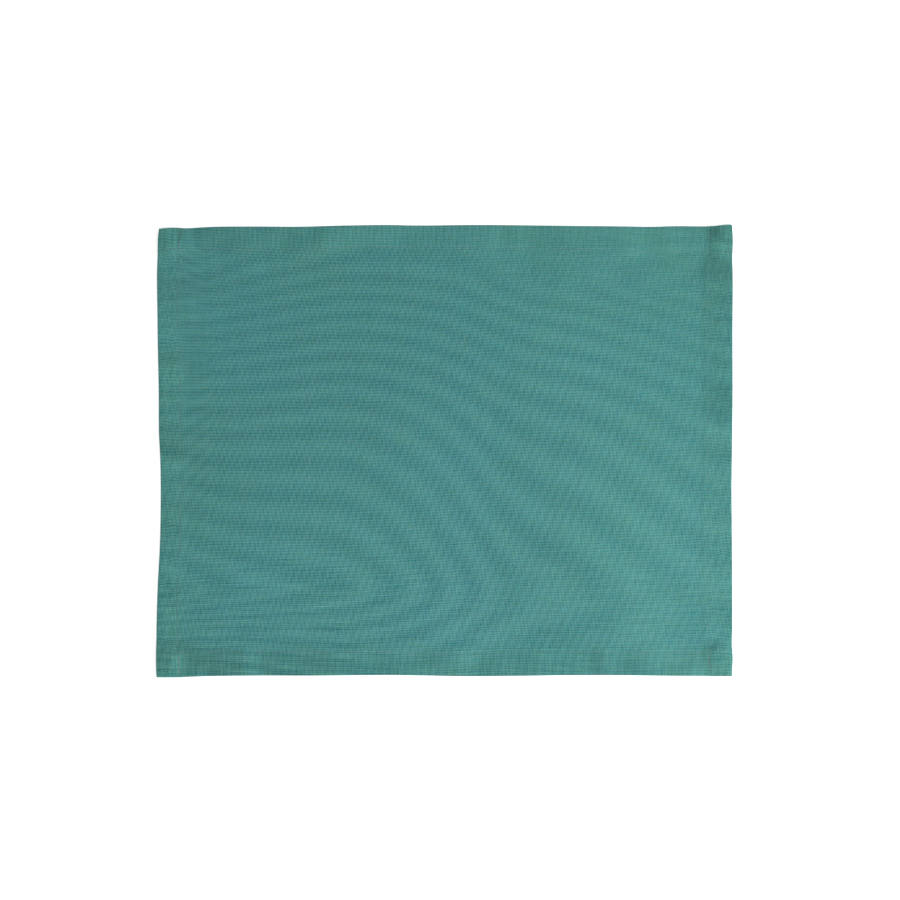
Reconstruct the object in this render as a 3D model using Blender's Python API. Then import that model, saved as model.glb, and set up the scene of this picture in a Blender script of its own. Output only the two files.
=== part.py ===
"""Hemmed fabric placemat of plain-weave cotton, lying flat with its face up.

One rectangle of cloth. Its top and bottom edges are turned under twice and sewn, and its two
sides are then turned under twice over the ends of those hems, so each corner is nine layers
thick. Lengths are in metres, +Z is up, +X runs along the mat's longer side, and the origin is
the middle of the underside.
"""

import math
from collections import namedtuple

import bmesh
import bpy
import numpy as np

MM = 0.001

# Driving dimensions
MAT_WIDTH = 450 * MM  # finished, along X
MAT_DEPTH = 353 * MM  # finished, along Y
PANEL_THICKNESS = 1.0 * MM  # the single layer between the hems
HEM_RISE = 1.3 * MM  # what the two turned-in layers of a hem add
CORNER_RISE = 0.2 * MM  # what the nine layers of a corner add to its two hems
FOLD_REACH = 1.1 * MM  # from the outermost line of a folded edge in to its level top
CORNER_SOFTNESS = 0.8  # share of the fold's reach that a corner's point keeps

# The uneven edges, one row for each bend. along: place on the side, from its middle.
# out: how far the edge lies outside its straight line. hem: from the edge in to the stitching.
# All three are in millimetres.
Bend = namedtuple("Bend", "along out hem")

LEFT_EDGE = (
    Bend(-177, 0.5, 17.6),
    Bend(-167, 0.9, 17.3),
    Bend(-139, 0.6, 16.2),
    Bend(-111, -0.2, 15.4),
    Bend(-73, -2.1, 15.3),
    Bend(-50, -2.6, 15.7),
    Bend(-26, -2.7, 16.5),
    Bend(-7, -2.3, 16.5),
    Bend(11, -1.4, 16.9),
    Bend(49, -1.1, 16.7),
    Bend(77, -0.5, 16.3),
    Bend(115, 0.0, 16.0),
    Bend(143, 0.2, 16.2),
    Bend(157, -0.3, 16.3),
    Bend(171, -0.7, 16.1),
    Bend(177, -1.4, 16.0),
)
RIGHT_EDGE = (
    Bend(-177, 0.3, 16.0),
    Bend(-172, 0.4, 16.7),
    Bend(-163, 0.8, 18.1),
    Bend(-153, 0.2, 18.6),
    Bend(-140, 0.5, 19.0),
    Bend(-116, 0.5, 19.7),
    Bend(-55, 0.2, 19.6),
    Bend(-31, 0.0, 19.2),
    Bend(7, 0.4, 18.8),
    Bend(44, 0.8, 18.9),
    Bend(95, 0.7, 19.1),
    Bend(146, 0.8, 18.8),
    Bend(156, 0.5, 18.2),
    Bend(167, 0.9, 17.8),
    Bend(177, 0.2, 17.3),
)
BOTTOM_EDGE = (
    Bend(-225, 0.6, 21.5),
    Bend(-205, 0.5, 20.7),
    Bend(-187, -0.1, 19.9),
    Bend(-149, -0.6, 19.1),
    Bend(-102, -0.6, 18.9),
    Bend(-45, -1.0, 18.0),
    Bend(-11, -0.6, 17.6),
    Bend(11, -0.2, 18.0),
    Bend(58, -0.4, 18.3),
    Bend(95, -0.9, 19.0),
    Bend(124, -1.0, 18.1),
    Bend(180, -0.4, 18.7),
    Bend(226, -0.4, 18.5),
)
TOP_EDGE = (
    Bend(-225, -2.6, 16.0),
    Bend(-213, -1.6, 16.4),
    Bend(-204, -1.9, 16.5),
    Bend(-185, -0.9, 17.0),
    Bend(-147, -0.5, 16.9),
    Bend(-119, -0.7, 16.9),
    Bend(-72, 0.4, 17.3),
    Bend(-44, 0.7, 17.6),
    Bend(-25, 0.3, 17.6),
    Bend(22, 0.7, 18.0),
    Bend(91, 0.1, 17.8),
    Bend(138, -0.4, 19.3),
    Bend(163, -0.7, 19.4),
    Bend(181, -0.2, 19.5),
    Bend(197, -0.4, 19.8),
    Bend(209, -0.3, 20.2),
    Bend(220, 0.7, 21.4),
    Bend(226, 0.9, 21.6),
)

# Section across a hem, from its folded edge inwards. share: share of the way from the fold to
# the stitching. past: millimetres beyond the stitching. loft: share of the hem's full rise.
Station = namedtuple("Station", "share past loft")

HEM_SECTION = (
    Station(0.00, 0.0, 0.90),  # the folded edge
    Station(0.20, 0.0, 1.04),
    Station(0.48, 0.0, 1.00),
    Station(0.74, 0.0, 1.02),
    Station(0.91, 0.0, 0.88),
    Station(1.00, 0.0, 0.58),  # drawn down by the stitching
    Station(1.00, 1.5, 0.76),  # the turned-in edge beneath
    Station(1.00, 3.2, 0.50),
    Station(1.00, 5.4, 0.18),
    Station(1.00, 8.4, 0.00),  # the single layer lies flat from here on
)

# Places where the corners sink between bulges, from the middle of the mat, in millimetres.
# reach: half width of the place. sink: how far the face drops there, below zero where it swells.
Hollow = namedtuple("Hollow", "x y reach sink")

HOLLOWS = (
    Hollow(212, -154, 6.0, 0.6),
    Hollow(216, -168, 6.0, -0.1),
    Hollow(211, 168, 4.5, 0.6),
    Hollow(220, 170, 5.5, -0.2),
    Hollow(-218, -152, 5.0, 0.5),
    Hollow(-213, -167, 4.0, -0.2),
    Hollow(-211, 156, 5.0, -0.3),
    Hollow(-217, 168, 5.0, 0.2),
)

# Puckers that the sewing draws along a hem
PUCKER_HEIGHT = 0.10 * MM
PUCKER_LENGTHS = (27 * MM, 41 * MM)

CELL = 8.5 * MM  # grid pitch along the panel
HEM_ZONE = 27 * MM  # what each edge's hem takes of the width or the depth, as a mean
FOLD_STEPS = (50, 10, -35, -90)  # degrees down the folded edge, from its level top at 90
SAME_HEIGHT = 1e-9  # heights closer than this are one level
SHARP_ANGLE = 60  # degrees between faces from which an edge is drawn sharp

CLOTH_COLOUR = (0.076, 0.254, 0.246, 1.0)  # teal, linear
CLOTH_ROUGHNESS = 0.9


def course(bends, column, along):
    """One column of an edge's table as a smooth course: cubic between the rows, through all."""
    places = np.array([bend.along for bend in bends]) * MM
    values = np.array([getattr(bend, column) for bend in bends]) * MM
    slopes = np.gradient(values, places)
    at = np.clip(along, places[0], places[-1])
    row = np.clip(np.searchsorted(places, at) - 1, 0, len(places) - 2)
    span = places[row + 1] - places[row]
    part = (at - places[row]) / span
    rest = 1 - part
    ends = values[row] * (1 + 2 * part) * rest**2 + values[row + 1] * (3 - 2 * part) * part**2
    leans = (slopes[row] * rest - slopes[row + 1] * part) * span * part * rest
    return ends + leans


def rows_across(near, far, half, along, panel_cells):
    """Places of the grid's rows across the mat, from the near edge's hem to the far one's.

    Each hem's rows follow its own edge and stitching; the panel's rows are spread evenly
    between the innermost row of the two hems. Returns one line of places for each row.
    """
    near_line = -half - course(near, "out", along)
    far_line = half + course(far, "out", along)
    near_rows = []
    far_rows = []
    for station in HEM_SECTION:
        inward = FOLD_REACH + station.past * MM
        near_hem = course(near, "hem", along) - FOLD_REACH
        far_hem = course(far, "hem", along) - FOLD_REACH
        near_rows.append(near_line + inward + station.share * near_hem)
        far_rows.append(far_line - inward - station.share * far_hem)
    panel = [
        near_rows[-1] + (far_rows[-1] - near_rows[-1]) * cell / panel_cells
        for cell in range(1, panel_cells)
    ]
    return np.array(near_rows + panel + far_rows[::-1])


def lofts_across(panel_cells):
    """The share of a hem's rise at each row across the mat."""
    hem = [station.loft for station in HEM_SECTION]
    return np.array(hem + [0.0] * (panel_cells - 1) + hem[::-1])


def puckers(along):
    """Two slow waves along a hem, as its sewing has drawn it up."""
    first, second = PUCKER_LENGTHS
    waves = np.sin(2 * math.pi * along / first) + np.sin(2 * math.pi * along / second + 1.0)
    return PUCKER_HEIGHT * waves / 2


def face_heights(x, y, side_loft, end_loft):
    """Height of the cloth's face over the table: the panel, its hems and what marks them."""
    rise = HEM_RISE * (side_loft + end_loft) + CORNER_RISE * side_loft * end_loft
    drawn_up = side_loft * puckers(y) + end_loft * puckers(x)
    sunk = np.zeros_like(x)
    for hollow in HOLLOWS:
        away = np.hypot(x - hollow.x * MM, y - hollow.y * MM) / (hollow.reach * MM)
        sunk += hollow.sink * MM * np.exp(-(away**2))
    on_hem = np.clip(side_loft + end_loft, 0, 1)
    return PANEL_THICKNESS + rise + drawn_up - sunk * on_hem


def cloth_grid():
    """The x, y and height of each point of the cloth's face, by column and row."""
    columns = round((MAT_WIDTH - 2 * HEM_ZONE) / CELL)
    rows = round((MAT_DEPTH - 2 * HEM_ZONE) / CELL)
    level_x = rows_across(LEFT_EDGE, RIGHT_EDGE, MAT_WIDTH / 2, np.zeros(1), columns)[:, 0]
    level_y = rows_across(BOTTOM_EDGE, TOP_EDGE, MAT_DEPTH / 2, np.zeros(1), rows)[:, 0]
    x = rows_across(LEFT_EDGE, RIGHT_EDGE, MAT_WIDTH / 2, level_y, columns)
    y = rows_across(BOTTOM_EDGE, TOP_EDGE, MAT_DEPTH / 2, level_x, rows).T
    side_loft = lofts_across(columns)[:, None]
    end_loft = lofts_across(rows)[None, :]
    return x, y, face_heights(x, y, side_loft, end_loft)


def outward(index, last):
    """Which way is out of the mat for a point of the grid: -1, 0 or 1."""
    return (index == last) - (index == 0)


def make_cloth():
    """The mat: its face as a grid, folded down at the edges onto a flat underside."""
    x, y, height = cloth_grid()
    last_column, last_row = x.shape[0] - 1, x.shape[1] - 1
    bm = bmesh.new()
    bmesh.ops.create_grid(bm, x_segments=last_column, y_segments=last_row, size=0.5)
    place = {}
    for vert in bm.verts:
        column = round((vert.co.x + 0.5) * last_column)
        row = round((vert.co.y + 0.5) * last_row)
        place[vert] = (column, row)
        vert.co = (x[column, row], y[column, row], height[column, row])

    rim = [edge for edge in bm.edges if edge.is_boundary]
    for step in FOLD_STEPS:
        angle = math.radians(step)
        made = bmesh.ops.extrude_edge_only(bm, edges=rim)["geom"]
        rim = [item for item in made if isinstance(item, bmesh.types.BMEdge)]
        for vert in (item for item in made if isinstance(item, bmesh.types.BMVert)):
            above = next(edge.other_vert(vert) for edge in vert.link_edges if edge not in rim)
            column, row = place[above]
            place[vert] = (column, row)
            out_x, out_y = outward(column, last_column), outward(row, last_row)
            softness = CORNER_SOFTNESS if out_x and out_y else 1.0
            reach = FOLD_REACH * math.cos(angle) * softness
            drop = (1 + math.sin(angle)) / 2
            vert.co.x = x[column, row] + out_x * reach
            vert.co.y = y[column, row] + out_y * reach
            vert.co.z = height[column, row] * drop
        rim = [edge for edge in bm.edges if edge.is_boundary]
    bmesh.ops.holes_fill(bm, edges=rim)

    level = [
        face
        for face in bm.faces
        if all(abs(vert.co.z - PANEL_THICKNESS) < SAME_HEIGHT for vert in face.verts)
    ]
    bmesh.ops.dissolve_faces(bm, faces=level)
    bmesh.ops.recalc_face_normals(bm, faces=bm.faces)
    across = [vert.co.x for vert in bm.verts]
    along = [vert.co.y for vert in bm.verts]
    middle = (-(min(across) + max(across)) / 2, -(min(along) + max(along)) / 2, 0)
    bmesh.ops.translate(bm, vec=middle, verts=bm.verts)

    mesh = bpy.data.meshes.new("placemat_cloth")
    bm.to_mesh(mesh)
    bm.free()
    mesh.shade_smooth()
    mesh.set_sharp_from_angle(angle=math.radians(SHARP_ANGLE))
    return mesh


def cotton():
    """Matt teal cotton."""
    material = bpy.data.materials.new("teal_cotton")
    material.use_nodes = True
    shader = material.node_tree.nodes["Principled BSDF"]
    shader.inputs["Base Color"].default_value = CLOTH_COLOUR
    shader.inputs["Roughness"].default_value = CLOTH_ROUGHNESS
    shader.inputs["Metallic"].default_value = 0.0
    return material


for leftover in list(bpy.data.objects):
    bpy.data.objects.remove(leftover)

cloth = bpy.data.objects.new("placemat_cloth", make_cloth())
cloth.data.materials.append(cotton())
bpy.context.scene.collection.objects.link(cloth)
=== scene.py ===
"""The looks of a hemmed cotton placemat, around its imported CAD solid.

Lengths are in metres. +X runs along the mat's longer side, +Y along its shorter side and +Z up
out of its face, and it lies on the floor at z = 0.
"""

import math
from collections import namedtuple

import bpy
import numpy as np
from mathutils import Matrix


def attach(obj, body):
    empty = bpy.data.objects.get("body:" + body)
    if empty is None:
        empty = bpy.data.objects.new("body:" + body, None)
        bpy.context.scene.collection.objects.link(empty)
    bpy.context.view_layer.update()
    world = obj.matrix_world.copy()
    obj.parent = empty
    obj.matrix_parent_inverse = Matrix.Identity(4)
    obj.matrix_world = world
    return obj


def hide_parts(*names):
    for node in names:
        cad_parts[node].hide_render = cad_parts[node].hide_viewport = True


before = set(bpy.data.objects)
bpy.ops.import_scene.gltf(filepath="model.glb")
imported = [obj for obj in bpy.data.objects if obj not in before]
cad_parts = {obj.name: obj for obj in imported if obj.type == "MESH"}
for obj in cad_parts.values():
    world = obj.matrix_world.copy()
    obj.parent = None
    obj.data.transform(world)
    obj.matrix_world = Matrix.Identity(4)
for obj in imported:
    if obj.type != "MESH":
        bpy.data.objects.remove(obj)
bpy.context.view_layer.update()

# ---------------------------------------------------------------------------------- the cloth
# One rectangle of plain-weave cotton canvas, its yarn dyed teal. Its top and bottom edges are
# turned under twice and sewn. Its sides are then turned under twice over the ends of those
# hems and sewn from edge to edge, so a hem is three layers thick and a corner nine.

MM = 0.001
WIDTH = 450 * MM  # finished
DEPTH = 353 * MM
LAYER = 0.70 * MM  # thickness of the cloth
HEM_RISE = 1.50 * MM  # what the two layers beneath add to the face's height
CORNER_RISE = 0.10 * MM  # what a corner adds to the two hems that cross there
PRESSED = 0.97  # share of its room that a layer in a hem fills
FOLD_REACH = 1.1 * MM  # how far a folded edge bulges out
TURNED_REACH = 0.8 * MM  # how far the inner fold bulges in, under the face
TUCK = 0.35 * MM  # how far a side hem's lower layers stop short of the face's ends
GROOVE = 0.18 * MM  # how deep the sewing draws into the underside
PANEL_CELL = 4.4 * MM  # grid pitch between the hems
BOTH_HEMS = 54 * MM  # what two hems and the slopes beside them take up

# The uneven edges. along: place on the side, from its middle. out: how far the edge lies
# outside its straight line. hem: from the edge in to the stitching. All in millimetres.
Bend = namedtuple("Bend", "along out hem")

LEFT_EDGE = (
    Bend(-177, 0.5, 18.2),
    Bend(-167, 0.9, 18.0),
    Bend(-155, 0.8, 17.0),
    Bend(-139, 0.6, 16.2),
    Bend(-111, -0.2, 15.4),
    Bend(-73, -2.1, 15.3),
    Bend(-50, -2.6, 15.7),
    Bend(-26, -2.7, 16.5),
    Bend(-7, -2.3, 16.5),
    Bend(11, -1.4, 16.9),
    Bend(49, -1.1, 16.7),
    Bend(77, -0.5, 16.3),
    Bend(115, 0.0, 16.0),
    Bend(143, 0.2, 16.2),
    Bend(157, -0.3, 16.3),
    Bend(171, -0.7, 16.9),
    Bend(177, -1.4, 17.0),
)
RIGHT_EDGE = (
    Bend(-177, 0.3, 16.8),
    Bend(-172, 0.4, 17.5),
    Bend(-163, 0.8, 18.7),
    Bend(-153, 0.2, 18.6),
    Bend(-140, 0.5, 19.0),
    Bend(-116, 0.5, 19.7),
    Bend(-55, 0.2, 19.6),
    Bend(-31, 0.0, 19.2),
    Bend(7, 0.4, 18.8),
    Bend(44, 0.8, 18.9),
    Bend(95, 0.7, 19.1),
    Bend(146, 0.8, 18.8),
    Bend(156, 0.5, 18.2),
    Bend(167, 0.9, 17.8),
    Bend(177, 0.2, 17.3),
)
BOTTOM_EDGE = (
    Bend(-225, 0.6, 21.5),
    Bend(-205, 0.5, 20.7),
    Bend(-187, -0.1, 19.9),
    Bend(-149, -0.6, 19.1),
    Bend(-102, -0.6, 18.9),
    Bend(-45, -1.0, 18.0),
    Bend(-11, -0.6, 17.6),
    Bend(11, -0.2, 18.0),
    Bend(58, -0.4, 18.3),
    Bend(95, -0.9, 19.0),
    Bend(124, -1.0, 18.1),
    Bend(180, -0.4, 18.7),
    Bend(226, -0.4, 18.5),
)
TOP_EDGE = (
    Bend(-225, -2.6, 16.0),
    Bend(-213, -1.6, 16.4),
    Bend(-204, -1.9, 16.5),
    Bend(-185, -0.9, 17.0),
    Bend(-147, -0.5, 16.9),
    Bend(-119, -0.7, 16.9),
    Bend(-72, 0.4, 17.3),
    Bend(-44, 0.7, 17.6),
    Bend(-25, 0.3, 17.6),
    Bend(22, 0.7, 18.0),
    Bend(91, 0.1, 17.8),
    Bend(138, -0.4, 19.3),
    Bend(163, -0.7, 19.4),
    Bend(181, -0.2, 19.5),
    Bend(197, -0.4, 19.8),
    Bend(209, -0.3, 20.2),
    Bend(220, 0.7, 21.4),
    Bend(226, 0.9, 21.6),
)

# The grid's lines along one hem, in the order in which the cloth passes them from its cut edge.
# share: share of the way from the folded edge to the stitching. past: millimetres beyond the
# stitching. loop: 1 round the inner fold, 1.5 round the outer one. turn: degrees round that
# fold from its bottom, 180 at its top.
Line = namedtuple("Line", "share past loop turn")

TURNED_IN = [Line(1, past, 1, 180) for past in (-11.2, -8.6, -6.5, -4.2, -2.2, -0.8, 0.3, 1.0)]
INNER_FOLD = [Line(1, 1.0, 1, turn) for turn in (150, 120, 90, 60, 30)]
BACK = [Line(1, past, 1.5, 0) for past in (1.0, 0.4, 0.0)] + [
    Line(share, 0, 1.5, 0) for share in (0.95, 0.85, 0.70, 0.55, 0.40, 0.25, 0.10, 0)
]
OUTER_FOLD = [Line(0, 0, 1.5, turn) for turn in (22, 45, 67, 90, 113, 135, 158)]
FACE = [
    Line(share, 0, 1.5, 180)
    for share in (0, 0.07, 0.15, 0.25, 0.35, 0.45, 0.55, 0.65, 0.74, 0.82, 0.89, 0.95, 1)
]
SLOPE = [Line(1, past, 1.5, 180) for past in (0.7, 1.5, 2.3, 3.2, 4.2, 5.4, 6.8, 8.4)]
HEM = TURNED_IN + INNER_FOLD + BACK + OUTER_FOLD + FACE + SLOPE
SHARE, PAST, LOOP, TURN = np.array(HEM, dtype=float).T
PAST = PAST * MM
LAYERS = np.where(PAST < 2 * MM, 3, 1)

# The face's height across a hem. spot: as share, running on beyond the stitching at the rate
# of a mean hem. loft: share of the hem's full rise.
Height = namedtuple("Height", "spot loft")
MEAN_HEM = 17 * MM
SECTION = (
    Height(0.00, 0.90),  # the folded edge
    Height(0.20, 1.04),
    Height(0.48, 1.00),
    Height(0.74, 1.02),
    Height(0.91, 0.96),
    Height(1.00, 0.80),  # drawn down by the stitching
    Height(1.09, 0.76),  # the inner fold beneath
    Height(1.18, 0.48),
    Height(1.30, 0.15),
    Height(1.46, 0.00),  # the single layer lies flat from here on
)

# A soft round place, from the middle of the mat, and how far it reaches, in millimetres.
Spot = namedtuple("Spot", "x y reach amount")

# Where the corners swell or, below zero, sink between their bulges. amount: millimetres.
BULGES = (
    Spot(212, -154, 6.0, -0.6),
    Spot(216, -168, 6.0, 0.1),
    Spot(211, 168, 4.5, -0.6),
    Spot(220, 170, 5.5, 0.2),
    Spot(-218, -152, 5.0, -0.5),
    Spot(-213, -167, 4.0, 0.2),
    Spot(-211, 156, 5.0, 0.3),
    Spot(-217, 168, 5.0, -0.2),
)
PUCKER_HEIGHT = 0.10 * MM
PUCKER_LENGTHS = (27 * MM, 41 * MM)
SWELL_HEIGHT = 0.30 * MM  # how far the panel lifts off the table between the hems


def course(places, values, at):
    """A smooth line through a table's rows: between two rows it is the cubic that takes their
    values and the mean slopes there."""
    slopes = np.gradient(values, places)
    at = np.clip(at, places[0], places[-1])
    row = np.clip(np.searchsorted(places, at) - 1, 0, len(places) - 2)
    span = places[row + 1] - places[row]
    part = (at - places[row]) / span
    rest = 1 - part
    ends = values[row] * (1 + 2 * part) * rest**2 + values[row + 1] * (3 - 2 * part) * part**2
    leans = (slopes[row] * rest - slopes[row + 1] * part) * span * part * rest
    return ends + leans


def spotted(spots, x, y):
    """The sum at each place of the spots' amounts, each fading as e to the minus distance
    squared, counted in its reach."""
    total = 0
    for spot in spots:
        away = np.hypot(x / MM - spot.x, y / MM - spot.y) / spot.reach
        total = total + spot.amount * np.exp(-(away**2))
    return total


def hem_lines(edge, half, along):
    """Distance from the mat's middle out to each line of a hem:
    edge - reach - share x (hem - reach) - past, at each place along the side."""
    places, out, hem = np.array(edge).T * MM
    outermost = half + course(places, out, along) - FOLD_REACH
    width = course(places, hem, along) - FOLD_REACH
    return outermost - SHARE[:, None] * width - PAST[:, None]


def lines_across(near, far, half, along, cells):
    """The near hem's lines, the panel's at even spaces, and the far hem's in reverse order."""
    first = -hem_lines(near, half, along)
    last = hem_lines(far, half, along)[::-1]
    part = (np.arange(1, cells) / cells)[:, None]
    return np.concatenate([first, first[-1] + (last[0] - first[-1]) * part, last])


# side: -1 on the near hem, 0 on the panel, 1 on the far hem. drawn_in: share of the groove.
Across = namedtuple("Across", "side layers loop turn loft drawn_in")


def lines_have(cells):
    """What each line across the mat has: the near hem's values, the panel's, the far hem's."""
    spot = SHARE + PAST / MEAN_HEM
    spots, lofts = np.array(SECTION).T
    drawn_in = np.exp(-(((spot - 1) / 0.05) ** 2))
    hem = (LAYERS, LOOP, np.radians(TURN), course(spots, lofts, spot), drawn_in)
    panel = (1, 1.5, math.pi, 0, 0)
    middle = cells - 1
    side = np.repeat([-1.0, 0.0, 1.0], [len(HEM), middle, len(HEM)])
    return side, *(
        np.concatenate([values, np.full(middle, level), values[::-1]])
        for values, level in zip(hem, panel)
    )


def fold(place, lines, pitch, depth):
    """Carries cloth round a hem's folds. A point at a depth beneath the cloth's face goes to
    height = r0 - r cos(turn) and place + side x reach x r / r0 x sin(turn), where
    r0 = loop x pitch and r = r0 - depth. The inner fold reaches the other way."""
    outer = lines.loop * pitch
    radius = outer - depth
    reach = np.where(lines.loop > 1, FOLD_REACH, -TURNED_REACH)
    bulge = reach * radius / outer * np.sin(lines.turn)
    return place + lines.side * bulge, outer - radius * np.cos(lines.turn)


def face_height(x, y, side_loft, end_loft):
    """Height of the face over the table: one layer, the hems' rises, the puckers that the
    sewing draws along them, the corners' bulges, and slow swells of the panel."""
    rise = HEM_RISE * (side_loft + end_loft) + CORNER_RISE * side_loft * end_loft

    def puckers(along):
        first, second = PUCKER_LENGTHS
        waves = np.sin(2 * math.pi * along / first) + np.sin(2 * math.pi * along / second + 1)
        return PUCKER_HEIGHT * waves / 2

    drawn_up = side_loft * puckers(y) + end_loft * puckers(x)
    bulging = spotted(BULGES, x, y) * MM
    on_hem = np.clip(side_loft + end_loft, 0, 1)
    swell = 1 + np.sin(x / 0.034 + 2 * np.sin(y / 0.055)) * np.sin(y / 0.041 + x / 0.09)
    return LAYER + rise + drawn_up + bulging * on_hem + SWELL_HEIGHT * (1 - on_hem) * swell / 2


columns = round((WIDTH - BOTH_HEMS) / PANEL_CELL)
rows = round((DEPTH - BOTH_HEMS) / PANEL_CELL)
level_x = lines_across(LEFT_EDGE, RIGHT_EDGE, WIDTH / 2, np.zeros(1), columns)[:, 0]
level_y = lines_across(BOTTOM_EDGE, TOP_EDGE, DEPTH / 2, np.zeros(1), rows)[:, 0]
base_x = lines_across(LEFT_EDGE, RIGHT_EDGE, WIDTH / 2, level_y, columns)
base_y = lines_across(BOTTOM_EDGE, TOP_EDGE, DEPTH / 2, level_x, rows).T

sides = Across(*(values[:, None] for values in lines_have(columns)))
ends = Across(*(values[None, :] for values in lines_have(rows)))

# The end hems first: each column's run of cloth is folded within a stack of height 1. The side
# hems then fold that stack, whose true thickness is the face's height or a third of it.
height = face_height(base_x, base_y, sides.loft, ends.loft)
room = height / sides.layers * np.where(sides.layers > 1, PRESSED, 1)
stack = np.where(ends.layers > 1, room, np.minimum(LAYER, room))
tucked_y = base_y - ends.side * TUCK * (1 + np.cos(sides.turn)) / 2
points = []
for away_from_face in (0, 1):  # the cloth's face, then its back
    within = away_from_face * np.where(ends.layers > 1, PRESSED / 3, 1)
    y, share_up = fold(tucked_y, ends, 1 / 3, within)
    x, z = fold(base_x, sides, height / 3, (1 - share_up) * stack)
    drawn_in = GROOVE * (sides.drawn_in + ends.drawn_in)
    z = z + drawn_in * (1 - np.clip(z / height, 0, 1))
    points.append(np.stack(np.broadcast_arrays(x, y, z), axis=-1))
points = np.array(points)
middle = (points.max(axis=(0, 1, 2)) + points.min(axis=(0, 1, 2))) / 2
points -= (middle[0], middle[1], 0)


def running(line):
    """Length along a line of points up to each of them."""
    steps = np.linalg.norm(np.diff(line, axis=0), axis=1)
    return np.concatenate([[0], np.cumsum(steps)])


def laid_flat(points, axis, plan):
    """Each point's place in the flat cloth, along its grid line: its place in plan on the line
    nearest the mat's middle, and from there the running length over panel and folds."""
    steps = np.linalg.norm(np.diff(points, axis=axis), axis=-1)
    length = np.insert(np.cumsum(steps, axis=axis), 0, 0, axis=axis)
    start = np.abs(plan.mean(axis=1 - axis)).argmin()
    return length - length.take([start], axis=axis) + plan.take([start], axis=axis)


mid_layer = points.mean(axis=0)
flat_u = laid_flat(mid_layer, 0, base_x)
flat_v = laid_flat(mid_layer, 1, base_y)

# How the yarns run. The rows of weft lie 2.2 mm apart as a mean, and each Drift says by how many
# rows they have come ahead of an even 2.026 mm spacing at a place, in millimetres: first up the
# mat, then as a bow from its left side to its right. Near the bottom hem they crowd on the
# left, and near the top hem on the right. The streaks of the warp, 5.7 mm apart and leaning,
# drift in the same way.
EVEN = 0.4936  # rows a millimetre
Drift = namedtuple("Drift", "place count")
ROWS_UP = (
    Drift(-172, 2.23),
    Drift(-150, 2.90),
    Drift(-112, 4.47),
    Drift(-80, 3.92),
    Drift(-40, 2.92),
    Drift(0, 1.82),
    Drift(40, 0.39),
    Drift(80, -1.61),
    Drift(105, -3.04),
    Drift(131, -4.68),
    Drift(150, -5.56),
    Drift(172, -5.86),
)
ROWS_BOW = (
    Drift(-215, 0.38),
    Drift(-180, 0.08),
    Drift(-145, 0.05),
    Drift(-110, 0.11),
    Drift(-80, 0.10),
    Drift(-50, -0.28),
    Drift(-20, -0.88),
    Drift(10, -1.67),
    Drift(40, -2.57),
    Drift(70, -3.16),
    Drift(110, -3.64),
    Drift(150, -4.33),
    Drift(185, -5.02),
    Drift(215, -5.63),
)
CROWDED_BELOW = -110.5
CROWDED_ABOVE = 131
ROWS_PULLED = (  # where a stretch of rows was pulled out of line. amount: rows
    Spot(25, 165, 40, 0.45),
    Spot(15, 95, 45, 0.20),
    Spot(-155, 150, 35, 0.22),
    Spot(-215, 10, 30, 0.14),
    Spot(150, 150, 35, -0.10),
)
STREAKS_ACROSS = (
    Drift(-215, -3.05),
    Drift(-165, -1.85),
    Drift(-110, -0.37),
    Drift(-55, 0.36),
    Drift(0, 0.70),
    Drift(55, 0.42),
    Drift(110, -0.27),
    Drift(165, -0.82),
    Drift(215, -1.46),
)
STREAKS_UP = (
    Drift(-172, -0.40),
    Drift(-125, -0.14),
    Drift(-80, 0.19),
    Drift(-40, 0.48),
    Drift(0, 0.48),
    Drift(40, 0.48),
    Drift(80, 0.32),
    Drift(125, -0.11),
    Drift(172, -1.31),
)


def drift(table, at):
    """The count by which a table's yarns have come ahead, at places in millimetres."""
    places, counts = np.array(table).T
    return course(places, counts, at)


def rows_passed(u, v):
    """How many rows of weft lie between the mat's middle and a place: an even count up the mat,
    the drift, the bow, a twist between them and the crowding by the hems."""
    pulled = spotted(ROWS_PULLED, u, v)
    u, v = u / MM, v / MM
    right = u / 100
    twist = (0.579 * right - 0.262 * right**2) * v / 100 - 0.0143 * (right * v / 100) ** 2
    below, above = np.maximum(CROWDED_BELOW - v, 0), np.maximum(v - CROWDED_ABOVE, 0)
    crowding = below * (0.0406 - 0.0067 * right) + above * (0.0261 + 0.0119 * right)
    drifted = drift(ROWS_UP, v) + drift(ROWS_BOW, u) + pulled
    return EVEN * v + drifted + twist + crowding * right


def streaks_passed(u, v):
    """The same for the streaks, counted to the right and downwards. On the end hems they stand
    nearly upright, and beside the left hem they are stretched, the more so up the mat."""
    u, v = u / MM, v / MM
    on_panel = np.clip(v, -158, 160)
    even = 0.1584 * u - 0.0733 * on_panel - 0.03 * (v - on_panel)
    twist = 0.862 * u * on_panel / 1e4 + 0.269 * u * on_panel**2 / 1e6
    stretched = np.maximum(0.104 + 0.0011 * v, 0) * np.clip(-184 - u, 0, 23.5)
    drifted = drift(STREAKS_ACROSS, u) + drift(STREAKS_UP, on_panel)
    return even + drifted + twist + stretched


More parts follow.
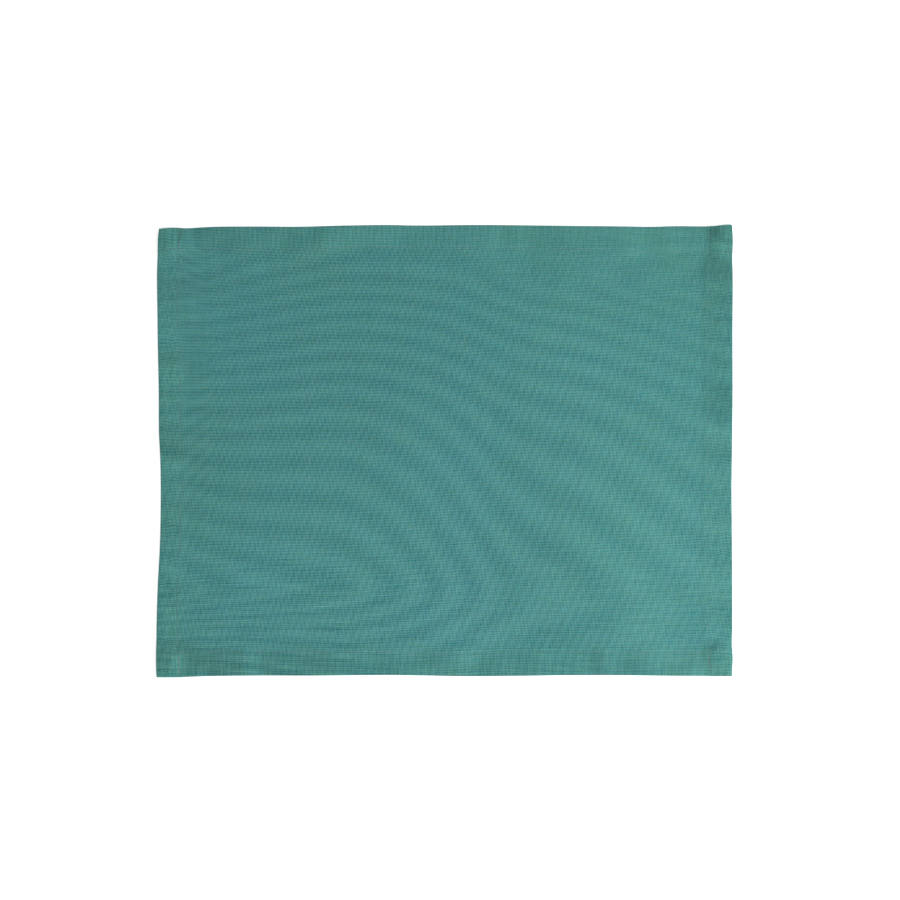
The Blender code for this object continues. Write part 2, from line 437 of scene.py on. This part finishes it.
def grid_sheet(name, points, u, v, shade_and_dye):
    """A closed mesh of a sheet's two sides, joined round its cut edges. It has three maps: its
    flat place in metres, its rows and streaks, and the square that the finish is painted
    through, with the face in its left half and the back in its right. Its colour attribute
    holds what each point's colour is multiplied by, painted light and shade with the dye's
    tints, and in alpha how clear its streaks are."""
    face, back = np.arange(2 * u.size).reshape(2, *u.shape)
    left, width, bottom, depth = u.min(), np.ptp(u), v.min(), np.ptp(v)

    def cells(grid):
        """The four corners of each cell of a grid, in order round it."""
        return np.stack([grid[:-1, :-1], grid[1:, :-1], grid[1:, 1:], grid[:-1, 1:]], axis=-1)

    def rim(grid, other):
        """The four corners of each piece of a cut edge, from a grid to the other side's."""
        return np.stack([grid[1:], grid[:-1], other[:-1], other[1:]], axis=-1)

    parts = [
        (cells(face), cells(u), cells(v), 0),
        (cells(back)[..., ::-1], cells(u)[..., ::-1], cells(v)[..., ::-1], 1),
    ]
    cut_edges = (
        (np.s_[:, 0], (0, -LAYER)),
        (np.s_[::-1, -1], (0, LAYER)),
        (np.s_[0, ::-1], (-LAYER, 0)),
        (np.s_[-1, :], (LAYER, 0)),
    )
    for at, (du, dv) in cut_edges:
        parts.append(
            (rim(face[at], back[at]), rim(u[at], u[at] + du), rim(v[at], v[at] + dv), 0)
        )
    mesh = bpy.data.meshes.new(name)
    quads = np.concatenate([corners.reshape(-1, 4) for corners, *_ in parts])
    mesh.from_pydata(points.reshape(-1, 3).tolist(), [], quads.tolist())
    u = np.concatenate([us.ravel() for _, us, _, _ in parts])
    v = np.concatenate([vs.ravel() for _, _, vs, _ in parts])
    half = np.concatenate([np.full(us.size, half) for _, us, _, half in parts])
    margin = 0.01
    across = margin + np.clip((u - left) / width, 0, 1) * (1 - 2 * margin)
    up = margin + np.clip((v - bottom) / depth, 0, 1) * (1 - 2 * margin)
    maps = {
        "flat": (u, v),
        "yarns": (streaks_passed(u, v), rows_passed(u, v)),
        "OFBake": ((across + half) / 2, up),
    }
    for map_name, pair in maps.items():
        layer = mesh.uv_layers.new(name=map_name)
        layer.data.foreach_set("uv", np.stack(pair, axis=-1).ravel())
    mesh.uv_layers["flat"].active_render = True
    attribute = mesh.color_attributes.new("shade_and_dye", "FLOAT_COLOR", "POINT")
    attribute.data.foreach_set("color", shade_and_dye.ravel())
    mesh.shade_smooth()
    mesh.set_sharp_from_angle(angle=math.radians(60))
    return mesh


# How painted light and shade and the dye change the face. Band: a soft stripe along a hem. On
# the hem, below zero, it is a painted shine where the needle plate pressed the cloth; inwards it
# is painted light and shade on the slope where the folded edge beneath presses through. place:
# in from the stitching, below zero on the hem. reach: how far it spreads. Both in millimetres.
# paler: as a share.
Band = namedtuple("Band", "place reach paler")
LEFT_BANDS = (Band(-4.7, 0.9, 0.022), Band(3.4, 2.3, -0.046))
RIGHT_BANDS = (Band(-3.6, 1.2, 0.033), Band(1.0, 2.8, 0.062), Band(1.0, 0.7, 0.022))
BOTTOM_BANDS = (Band(-3.8, 1.5, 0.034), Band(1.3, 1.6, 0.086))
TOP_BANDS = (Band(-4.1, 0.9, 0.025), Band(-1.0, 0.9, 0.050), Band(3.1, 1.5, -0.035))

# Painted shade of soft puckers along each hem: random shades 10 mm apart, about the hem's own
# level, which is painted lighter or darker. fade: how that level changes over each 100 mm
# upwards or to the right.
PuckerShading = namedtuple("PuckerShading", "paler fade seed")
ALONG_LEFT = PuckerShading(0.05, 0.015, 1)
ALONG_RIGHT = PuckerShading(-0.07, -0.055, 2)
ALONG_BOTTOM = PuckerShading(-0.055, 0.015, 3)
ALONG_TOP = PuckerShading(0.02, 0, 12)
PUCKER_PITCH = 10  # millimetres
PUCKER_SHADE = 0.05
# Painted highlights and, below zero, painted shadows: the creases and dents of the corners, then
# soft patches over the rest. amount: how much paler, as a share.
PATCHES = (
    Spot(-212, 171, 5, 0.20),
    Spot(-212, 163, 5, 0.20),
    Spot(-212, 156, 5, 0.14),
    Spot(-217, 160, 6, 0.08),
    Spot(-200, 163, 6, -0.07),
    Spot(-195, 148, 8, 0.12),
    Spot(-221, 145, 5, 0.06),
    Spot(211.5, 171, 6, -0.37),
    Spot(211, 160, 5, -0.10),
    Spot(210, 151, 5, -0.08),
    Spot(201, 145, 5, -0.07),
    Spot(-210.5, -165, 4.0, 0.36),
    Spot(-203, -165, 6, 0.08),
    Spot(-213, -156, 4, 0.07),
    Spot(-211, -173, 4, 0.20),
    Spot(-216, -166, 6, 0.02),
    Spot(-218, -153, 6, -0.12),
    Spot(-207, -152, 5, -0.10),
    Spot(-196, -168, 6, -0.06),
    Spot(-190, -174, 5, 0.10),
    Spot(209, -153.5, 3.5, -0.27),
    Spot(214, -150.5, 4, -0.13),
    Spot(220, -146, 4, -0.04),
    Spot(207, -160, 6, -0.08),
    Spot(220, -160, 6, 0.05),
    Spot(196, -175, 6, 0.10),
    Spot(224, -172, 5, 0.07),
    Spot(-205.5, 171, 3.5, -0.09),
    Spot(-198, 160, 6, 0.07),
    Spot(-217, 161, 4, -0.06),
    Spot(-217, 147, 6, -0.05),
    Spot(209, 151, 6, -0.10),
    Spot(217, 158, 5, 0.09),
    Spot(215, 174, 5, -0.09),
    Spot(197, 169, 5, -0.09),
    Spot(200, 141, 7, -0.06),
    Spot(-192, -165, 6, -0.08),
    Spot(-198, -153, 7, -0.08),
    Spot(-192, -176, 5, 0.10),
    Spot(-224, -160, 5, -0.08),
    Spot(193, -162, 6, -0.12),
    Spot(211, -166, 5, -0.12),
    Spot(222, -151, 5, 0.10),
    Spot(217, -173, 5, -0.10),
    Spot(205, -176, 5, 0.08),
    Spot(-168, -109, 60, 0.05),
    Spot(-80, -100, 45, 0.03),
    Spot(70, -85, 45, -0.05),
    Spot(60, 0, 40, -0.03),
    Spot(170, -60, 60, 0.04),
    Spot(100, 80, 30, 0.02),
    Spot(-50, 90, 55, -0.03),
    Spot(-190, 60, 40, 0.02),
    Spot(80, -140, 14, -0.06),
    Spot(-146, 145, 6, 0.13),
    Spot(-157, 142, 5, 0.06),
    Spot(-181, 152, 6, 0.08),
    Spot(-152, 159, 6, -0.07),
    Spot(-190, 133, 7, -0.07),
    Spot(-203, 127, 5, -0.08),
    Spot(-199, 120, 6, 0.09),
    Spot(-198, 108, 6, 0.10),
    Spot(99, 129, 8, 0.09),
    Spot(61, 148, 8, 0.07),
    Spot(61, -116, 8, 0.08),
    Spot(80, -153, 7, 0.08),
    Spot(25, 80, 45, -0.03),
    Spot(-60, 20, 35, -0.03),
    Spot(160, -120, 35, 0.03),
    Spot(-180, 113, 20, 0.03),
    Spot(5, -135, 25, 0.03),
)
BLUER = (  # where the dye is bluer, or less so, than on the whole
    Spot(-148, 85, 38, 0.055),
    Spot(-205, 50, 40, -0.035),
    Spot(-190, -15, 32, -0.035),
    Spot(-190, -58, 30, -0.035),
    Spot(-150, -103, 30, 0.045),
    Spot(12, 82, 32, 0.030),
    Spot(12, -12, 34, 0.050),
    Spot(18, -68, 30, 0.035),
    Spot(0, -125, 36, 0.040),
    Spot(-100, 140, 40, -0.030),
    Spot(-205, -155, 28, -0.030),
    Spot(90, 142, 45, -0.045),
    Spot(185, 138, 40, -0.060),
    Spot(165, 20, 55, -0.022),
    Spot(140, -70, 60, -0.035),
    Spot(165, -135, 30, -0.025),
)
REDDER = (  # the same for red
    Spot(-165, 108, 42, -0.045),
    Spot(-60, 112, 45, -0.030),
    Spot(40, 112, 50, -0.035),
    Spot(155, 104, 50, -0.045),
    Spot(215, 55, 40, -0.045),
    Spot(-155, -105, 40, -0.035),
)
HEM_TINT = (0.998, 1.0, 0.962)
HEM_WEAVE = 0.88  # how clear the streaks show on a hem
PAST_THE_SIDE = 1.6  # radians round a fold from its bottom, where its side faces up
FAINT = (  # where the streaks show less. amount: share
    Spot(-215, 110, 70, 0.40),
    Spot(-215, -90, 70, 0.14),
    Spot(60, 150, 50, 0.20),
    Spot(170, 150, 70, 0.45),
    Spot(215, 20, 60, 0.28),
    Spot(190, -130, 60, 0.28),
)


def banded(bands, at):
    """How much paler a hem's painted bands are at places across it, in millimetres."""
    return sum(band.paler * np.exp(-(((at - band.place) / band.reach) ** 2)) for band in bands)


def painted_pucker_shade(puckers, at):
    """How much paler a hem's painted pucker shade is at places along it, in millimetres."""
    places = np.arange(-240.0, 241, PUCKER_PITCH)
    draws = np.random.default_rng(puckers.seed).normal(0, PUCKER_SHADE, len(places))
    return puckers.paler + puckers.fade * at / 100 + course(places, draws, at)


def painted_shade_and_dye(x, y, sides, ends):
    """What each point's colour is multiplied by, painted light and shade with the dye's tints,
    and the streaks' clearness in alpha. Only the face, above the folds, gets painted light and
    shade. A hem's painted bands and pucker shades stop where another crosses it."""
    inwards = ((SHARE - 1) * MEAN_HEM + PAST) / MM

    def hem_paler(lines, near, far, along_near, along_far, along):
        """The painted bands and pucker shades of two hems that face each other, by the side a
        line is on.
        """
        side, loft = lines.side.ravel(), lines.loft.ravel()
        middle = np.full(side.size - 2 * len(HEM), inwards[-1])
        spot = np.concatenate([inwards, middle, inwards[::-1]])
        across = np.where(side < 0, banded(near, spot), banded(far, spot))
        along_it = np.where(
            side[:, None] < 0, painted_pucker_shade(along_near, along), painted_pucker_shade(along_far, along)
        )
        return across[:, None] + loft[:, None] * along_it

    by_side = hem_paler(sides, LEFT_BANDS, RIGHT_BANDS, ALONG_LEFT, ALONG_RIGHT, y[0] / MM)
    by_end = hem_paler(ends, BOTTOM_BANDS, TOP_BANDS, ALONG_BOTTOM, ALONG_TOP, x[:, 0] / MM).T
    # paler: painted light and shade, from the hems' bands and puckers and from the patches
    paler = by_side * (1 - ends.loft) + by_end * (1 - sides.loft) + spotted(PATCHES, x, y)
    on_top = (sides.turn > PAST_THE_SIDE) & (ends.turn > PAST_THE_SIDE)
    paler = np.where(on_top, paler, 0)
    on_hem = np.clip(sides.loft + ends.loft, 0, 1)
    tint = 1 + (sides.loft + ends.loft)[..., None] * (np.array(HEM_TINT) - 1)
    tint = tint * (1 + np.stack([spotted(REDDER, x, y), 0 * x, spotted(BLUER, x, y)], axis=-1))
    shades = tint * (1 + paler[..., None])
    clear = 1 - (1 - HEM_WEAVE) * on_hem - spotted(FAINT, x, y)
    return np.concatenate([shades, clear[..., None]], axis=-1)


def piece(name, mesh, material):
    """A piece of the mat at the frame's origin, riding on its one body."""
    made = bpy.data.objects.new(name, mesh)
    bpy.context.scene.collection.objects.link(made)
    mesh.materials.append(material)
    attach(made, "root")
    return made


class Shade:
    """A value or colour on its way through a material's nodes."""

    def __init__(self, tree, socket=None):
        self.tree, self.socket = tree, socket

    def node(self, kind, settings, sockets, output=0):
        """Adds a node: sets its settings, then its sockets by name or number, gives an output."""
        made = self.tree.nodes.new(kind)
        for key, value in settings.items():
            setattr(made, key, value)
        for key, value in sockets.items():
            if isinstance(value, Shade):
                self.tree.links.new(value.socket, made.inputs[key])
            else:
                made.inputs[key].default_value = value
        return Shade(self.tree, made.outputs[output])

    def math(self, operation, *values):
        return self.node("ShaderNodeMath", {"operation": operation}, dict(enumerate(values)))

    def __add__(self, other):
        return self.math("ADD", self, other)

    __radd__ = __add__

    def __sub__(self, other):
        return self.math("SUBTRACT", self, other)

    def __rsub__(self, other):
        return self.math("SUBTRACT", other, self)

    def __mul__(self, other):
        return self.math("MULTIPLY", self, other)

    __rmul__ = __mul__

    def __truediv__(self, other):
        return self.math("DIVIDE", self, other)

    def __pow__(self, other):
        return self.math("POWER", self, other)

    def wave(self):
        """1 at whole numbers, -1 halfway between them: cos(2 pi x)."""
        return self.math("COSINE", self * (2 * math.pi))

    def step(self, low, high):
        """0 below low, 1 above high, smooth between."""
        return self.node(
            "ShaderNodeMapRange",
            {"interpolation_type": "SMOOTHSTEP"},
            {"Value": self, "From Min": low, "From Max": high},
        )

    def place(self, name):
        """Both values of the piece's map of that name."""
        uv = self.node("ShaderNodeUVMap", {"uv_map": name}, {})
        return [self.node("ShaderNodeSeparateXYZ", {}, {0: uv}, axis) for axis in (0, 1)]

    def uneven(self, across, along, seed, detail=1.0):
        """Soft noise between about -1 and 1, one unit of across or along to a lump."""
        at = self.node("ShaderNodeCombineXYZ", {}, {0: across, 1: along, 2: seed})
        noise = self.node(
            "ShaderNodeTexNoise", {}, {"Vector": at, "Scale": 1.0, "Detail": detail}
        )
        return (noise - 0.5) * 2.6

    def mix(self, factor, one, other):
        """From one colour at 0 to the other at 1, and on beyond either."""
        settings = {"data_type": "RGBA", "clamp_factor": False}
        return self.node("ShaderNodeMix", settings, {0: factor, 6: one, 7: other}, 2)


def finish(name):
    """A new material, its shader, and a start for the shades of its nodes."""
    material = bpy.data.materials.new(name)
    material.use_nodes = True
    shader = material.node_tree.nodes["Principled BSDF"]
    return material, shader, Shade(material.node_tree)


# The canvas: rows of weft, each of two yarns, over streaks of warp. Where the yarn stands
# proud a painted highlight makes it paler, and between the yarns painted shade makes it
# darker. Where the rows crowd or spread against an even spacing the eye meets them as soft
# bands.
DEEP_TEAL = (0.0140, 0.1200, 0.1330, 1)
PALE_TEAL = (0.1280, 0.3700, 0.3430, 1)
ROW_SWING = 0.140  # swings are shares of the way from deep to pale
BAND_SWING = 0.066
LEANING_SWING = 0.055
UPRIGHT_SWING = 0.076
GRAIN_SWING = 0.36
LUMP_SWING = 0.08

canvas_finish, shader, start = finish("teal_canvas")
u, v = (value * 1000 for value in start.place("flat"))
streak, row = start.place("yarns")
shade_and_dye = start.node("ShaderNodeAttribute", {"attribute_name": "shade_and_dye"}, {})
clear = start.node("ShaderNodeAttribute", {"attribute_name": "shade_and_dye"}, {}, 3)
wander = start.uneven(u / 38, v / 9, 5.0)
astray = start.uneven(u / 14, v / 14, 6.0)
on_sides = (u * u).step(206**2, 210**2)  # the side hems, whose rows run crooked
skewed = start.uneven(u / 9, v / 15, 9.0) * on_sides * 0.75
rows_seen = (row + wander * 0.05 + skewed + 0.396).wave()
bands = (row - v * EVEN + 0.194).wave()
leaning = (streak + astray * 0.07 - 0.093).wave()
upright = (u * EVEN - streak - astray * 0.07 + 0.306).wave()
row = row + skewed
slub = start.uneven(u / 22, row * 1.2, 3.0)
patchy = start.uneven(u / 11, v / 9, 8.0)
streaks = (leaning * LEANING_SWING + upright * UPRIGHT_SWING) * (1 + patchy * 0.4)

# The finest crossings of warp over weft, two to a row: two slants of them, of which the one
# shows more to the left and the other to the right.
half_warp = streak * 0.5 + u * 0.46213 + v * 0.00034 - 0.094
half_weft = row * 0.5 - v * 0.70872 - 0.216
falling = (half_warp - half_weft).wave() * (0.062 - u * 0.00009)
rising = (half_warp + half_weft).wave() * (0.058 + u * 0.0002)

# The rows show less towards the top. Low down, and most of all on the left, single rows are
# dark.
high_up = v.step(50, 130)
low_down = (v * -1).step(30, 140)
low_left = low_down * (0.6 + (u * -1).step(-40, 120))
rows_left = 1 - high_up * 0.14

# The weave's pattern, with painted highlights on proud yarn and painted shade between yarns.
weave = (
    rows_seen * (1 + slub * 0.3) * (0.65 + clear * 0.35) * rows_left * ROW_SWING
    + (bands * (0.95 - v * 0.0006) * BAND_SWING + streaks) * clear
    + (falling + rising) * clear
)
single_rows = start.uneven(u / 34, row * 1.6, 4.0, 2.0) * rows_left
single_rows = single_rows * (2.8 - clear * 1.8 + low_left * 1.6)
thick_end = start.uneven(u / 1.8, v / 40, 7.0, 2.0)
grain = start.uneven(u / 0.8, v / 0.8, 17.0, 1.0)
lump = start.uneven(u / 2.6, row * 1.1, 11.0, 1.0)
blotch = start.uneven(u / 9, v / 7, 21.0, 3.0)
# Painted shade of the side hems' rumples.
rumple_shade = start.uneven(u / 5, v / 8, 14.0) * on_sides
unevenness = (
    slub * 0.040
    + single_rows * 0.090
    + thick_end * 0.080
    + rumple_shade * 0.100
    + lump * LUMP_SWING
    + grain * GRAIN_SWING
    + blotch * 0.035
)
colour = start.mix(0.5 + weave + unevenness, DEEP_TEAL, PALE_TEAL)

# The dye took unevenly: short reddish and bluish runs along the weft, over wide soft tinges.
reddish = start.uneven(u / 10, v / 1.7, 41.0, 1.0) + start.uneven(u / 2.2, v / 2.2, 43.0, 1.0)
bluish = start.uneven(u / 10, v / 1.7, 53.0, 1.0) + start.uneven(u / 2.2, v / 2.2, 59.0, 1.0)
tinge = start.uneven(u / 27, v / 20, 61.0, 2.0)
dyed = start.node(
    "ShaderNodeCombineXYZ",
    {},
    {0: reddish * 0.013 - tinge * 0.003, 1: 0.0, 2: bluish * 0.027 + tinge * 0.012},
)
colour = start.node("ShaderNodeVectorMath", {"operation": "ADD"}, {0: colour, 1: dyed})
# The colour attribute multiplies in painted light and shade and the dye's tints.
colour = start.node("ShaderNodeVectorMath", {"operation": "MULTIPLY"}, {0: colour, 1: shade_and_dye})
relief = rows_seen * 0.4 + grain * 0.4 + lump * 0.3 + upright * 0.2
normal = start.node(
    "ShaderNodeBump", {}, {"Height": relief, "Strength": 0.25, "Distance": 0.00012}
)
tree = canvas_finish.node_tree
tree.links.new(colour.socket, shader.inputs["Base Color"])
tree.links.new(normal.socket, shader.inputs["Normal"])
shader.inputs["Roughness"].default_value = 0.92
shader.inputs["Specular IOR Level"].default_value = 0.15
shader.inputs["Sheen Weight"].default_value = 0.08
shader.inputs["Sheen Roughness"].default_value = 0.5
shader.inputs["Sheen Tint"].default_value = (0.55, 0.8, 0.78, 1)

# The face's painted light and shade and dye tints, the same for both sides of the sheet.
face_shade_and_dye = painted_shade_and_dye(base_x, base_y, sides, ends)
canvas_mesh = grid_sheet("placemat", points, flat_u, flat_v, np.stack([face_shade_and_dye, face_shade_and_dye]))
canvas = piece("placemat", canvas_mesh, canvas_finish)
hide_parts("placemat_cloth")

# ------------------------------------------------------------------------------- the stitching
# Rows of lockstitch in a dusty grey-mauve thread, 2.7 mm to a stitch. The end hems' rows were
# sewn first, from cut edge to cut edge, so the side hems carry them round onto the underside.
# Each stitch lies on the cloth between two needle holes and dips into them, painted darker
# there as shade.

STITCH = 2.7 * MM
THREAD = 0.42 * MM
HALF_SEEN = 0.44 * STITCH  # half of what shows of a stitch
PROUD = 0.07 * MM  # how far a stitch's middle stands off the cloth
DIP = 0.42 * MM  # how far it sinks from there at its holes
SLANT = 0.10 * MM  # how far its ends lie aside
FACE_ROW = HEM.index(FACE[-1])
BACK_ROW = HEM.index(Line(1, 0.0, 1.5, 0))
HEM_START = HEM.index(BACK[0])
FOLD_MIDDLE = HEM.index(Line(0, 0, 1.5, 90))
PANEL_START = HEM.index(Line(1, 3.2, 1.5, 180))

outside = points[0]
steps_u, steps_v = np.gradient(outside, axis=0), np.gradient(outside, axis=1)
outward = np.cross(steps_u, steps_v)
outward /= np.linalg.norm(outward, axis=-1, keepdims=True)


def stitch_run(line, outward, start, end, aside=0.0):
    """Stitches along a line of points on the cloth, between two distances along it. Each is a
    round thread swept along the line. At a distance from its middle, as a share of its half, it
    stands off the cloth by PROUD - DIP x share to the fourth power."""
    length = running(line)
    count = int((end - start) / STITCH)
    middles = start + (np.arange(count) + 0.5) * (end - start) / count
    share = np.linspace(-1, 1, 7)
    places = middles[:, None] + share * HALF_SEEN
    around = np.radians(np.arange(0, 360, 60))

    def at(values, where):
        return np.stack([np.interp(where, length, values[:, k]) for k in range(3)], axis=-1)

    def unit(vectors):
        return vectors / np.linalg.norm(vectors, axis=-1, keepdims=True)

    centre, up = at(line, places), unit(at(outward, places))
    ahead = unit(at(line, places + 0.2 * MM) - at(line, places - 0.2 * MM))
    beside = np.cross(ahead, up)
    centre = centre + up * (PROUD - DIP * share**4)[None, :, None]
    centre = centre + beside * (share * SLANT + aside)[None, :, None]
    radius = THREAD / 2 * (1 - 0.35 * share**6)
    ring = (
        beside[:, :, None] * np.cos(around)[:, None] + up[:, :, None] * np.sin(around)[:, None]
    )
    return centre[:, :, None] + ring * radius[None, :, None, None]


def thread_mesh(name, runs):
    """Joins runs of stitches, each with its colour, into one mesh of closed tubes. No two
    stitches are quite alike in shade, and each is painted darker towards its needle holes,
    as shade where it sinks in."""
    rings = np.concatenate([run for run, _ in runs])
    tint = np.concatenate([np.tile(colour, (len(run), 1)) for run, colour in runs])
    stitches, along, around, _ = rings.shape
    index = np.arange(rings[..., 0].size).reshape(stitches, along, around)
    ahead = np.roll(index, -1, axis=2)
    walls = np.stack([index[:, :-1], index[:, 1:], ahead[:, 1:], ahead[:, :-1]], axis=-1)
    faces = walls.reshape(-1, 4).tolist()
    faces += index[:, 0].tolist() + index[:, -1, ::-1].tolist()
    mesh = bpy.data.meshes.new(name)
    mesh.from_pydata(rings.reshape(-1, 3).tolist(), [], faces)
    own = np.random.default_rng(7).normal(1, 0.10, (stitches, 1, 1))
    hole_shade = 1 - 0.85 * np.abs(np.linspace(-1, 1, along)[:, None]) ** 3
    rgba = np.ones((stitches, along, 4))
    rgba[..., :3] = tint[:, None] * own * hole_shade
    thread_dye_and_hole_shade = mesh.color_attributes.new("thread_dye_and_hole_shade", "FLOAT_COLOR", "POINT")
    thread_dye_and_hole_shade.data.foreach_set("color", np.repeat(rgba, around, axis=1).ravel())
    mesh.shade_smooth()
    return mesh


MAUVE = (0.148, 0.274, 0.300)
last_column, last_row = outside.shape[0] - 1, outside.shape[1] - 1


def sewn(place, first=0.0, last=0.0):
    """Mauve stitches along one line of the grid, up to so far short of its two ends."""
    line = outside[place]
    return stitch_run(line, outward[place], first, running(line)[-1] - last), MAUVE


end_runs, side_runs = [], []
for row_at in (FACE_ROW, last_row - FACE_ROW):
    end_runs.append(sewn(np.s_[HEM_START : last_column - HEM_START + 1, row_at]))
for row_at in (BACK_ROW, last_row - BACK_ROW):
    end_runs.append(sewn(np.s_[PANEL_START : last_column - PANEL_START + 1, row_at]))

# The side hems' rows begin and end with back stitches over the corners, where the thread lies
# double. Their colours differ from corner to corner, and at the top right they are painted
# dark as the shadow beside that row.
FOLD_TO_FOLD = np.s_[FOLD_MIDDLE : last_row - FOLD_MIDDLE + 1]
SHORT_OF_FOLD = 1.6 * MM
LEFT_SINGLE = (15 * MM, 11 * MM)  # how far from either fold the thread lies single
RIGHT_SINGLE = (15 * MM, 24 * MM)
DOUBLE = 0.28 * MM  # how far aside each of two threads lies
Tack = namedtuple("Tack", "column far_end first last colour")
LEFT_ROW, RIGHT_ROW = FACE_ROW, last_column - FACE_ROW
TACKS = (
    Tack(LEFT_ROW, True, 0, 9.8, (0.115, 0.095, 0.105)),
    # The next two, at the top right: painted shadow beside the row, darker than the thread.
    Tack(RIGHT_ROW, True, 0, 9.5, (0.045, 0.085, 0.085)),
    Tack(RIGHT_ROW, True, 9.5, 22.0, (0.050, 0.135, 0.130)),
    Tack(LEFT_ROW, False, 0, 14.0, (0.270, 0.370, 0.350)),
    Tack(RIGHT_ROW, False, 0, 13.5, (0.140, 0.190, 0.205)),
)
side_runs.append(sewn((LEFT_ROW, FOLD_TO_FOLD), *LEFT_SINGLE))
side_runs.append(sewn((RIGHT_ROW, FOLD_TO_FOLD), *RIGHT_SINGLE))
for column_at in (BACK_ROW, last_column - BACK_ROW):
    side_runs.append(sewn((column_at, FOLD_TO_FOLD), SHORT_OF_FOLD, SHORT_OF_FOLD))
for tack in TACKS:
    line, normals = outside[tack.column, FOLD_TO_FOLD], outward[tack.column, FOLD_TO_FOLD]
    if tack.far_end:
        line, normals = line[::-1], normals[::-1]
    for back in (-1, 1):
        start, end = (
            SHORT_OF_FOLD + place * MM + (1 + back) * STITCH / 4
            for place in (tack.first, tack.last)
        )
        run = stitch_run(line, normals, start, end, back * DOUBLE)
        side_runs.append((run, tack.colour))

thread_finish, shader, start = finish("mauve_thread")
# The thread's colour: its dye, with painted shade towards the needle holes.
thread_dye_and_hole_shade = start.node("ShaderNodeAttribute", {"attribute_name": "thread_dye_and_hole_shade"}, {}, 0)
thread_finish.node_tree.links.new(thread_dye_and_hole_shade.socket, shader.inputs["Base Color"])
shader.inputs["Roughness"].default_value = 0.6

end_stitches = piece("end_hem_stitches", thread_mesh("end_hem_stitches", end_runs), thread_finish)
side_stitches = piece(
    "side_hem_stitches", thread_mesh("side_hem_stitches", side_runs), thread_finish
)

# --------------------------------------------------------------------------- floor and light
# A plain white floor under a pale sky, and one large soft light beyond the mat's near right
# corner, so that corner is the brighter one. The camera looks straight down.

FLOOR = 12  # from the mat to the floor's far edges
BENEATH = 0.05 * MM  # keeps the floor clear of the cloth
floor_mesh = bpy.data.meshes.new("floor")
floor_mesh.from_pydata(
    [(-FLOOR, -FLOOR, 0), (FLOOR, -FLOOR, 0), (FLOOR, FLOOR, 0), (-FLOOR, FLOOR, 0)],
    [],
    [(0, 1, 2, 3)],
)
floor = bpy.data.objects.new("floor", floor_mesh)
bpy.context.scene.collection.objects.link(floor)
floor.location.z = -BENEATH
white = bpy.data.materials.new("white_floor")
white.use_nodes = True
paint = white.node_tree.nodes["Principled BSDF"]
paint.inputs["Base Color"].default_value = (0.9, 0.9, 0.9, 1)
paint.inputs["Roughness"].default_value = 0.9
paint.inputs["Emission Color"].default_value = (1, 1, 1, 1)
paint.inputs["Emission Strength"].default_value = 0.55
floor_mesh.materials.append(white)

world = bpy.data.worlds.new("sky")
world.use_nodes = True
world.node_tree.nodes["Background"].inputs["Color"].default_value = (1, 1, 1, 1)
world.node_tree.nodes["Background"].inputs["Strength"].default_value = 0.455
bpy.context.scene.world = world

lamp = bpy.data.lights.new("soft_light", "AREA")
lamp.shape = "DISK"
lamp.size = 0.6
lamp.energy = 8.9
soft = bpy.data.objects.new("soft_light", lamp)
soft.location = (0.55, -0.28, 0.9)
soft.rotation_euler = (math.radians(17), math.radians(31), 0)
bpy.context.scene.collection.objects.link(soft)

VIEW_HEIGHT = 1.666
OVER_MIDDLE = (4.3 * MM, 0.8 * MM)  # where the camera stands, in plan
lens = bpy.data.cameras.new("camera")
lens.lens = 85
lens.sensor_width = 36
camera = bpy.data.objects.new("camera", lens)
camera.location = (*OVER_MIDDLE, VIEW_HEIGHT)
bpy.context.scene.collection.objects.link(camera)
bpy.context.scene.camera = camera
bpy.context.scene.view_settings.view_transform = "Standard"
# Single yarns are finer than this filter would keep.
bpy.context.scene.cycles.denoising_prefilter = "NONE"
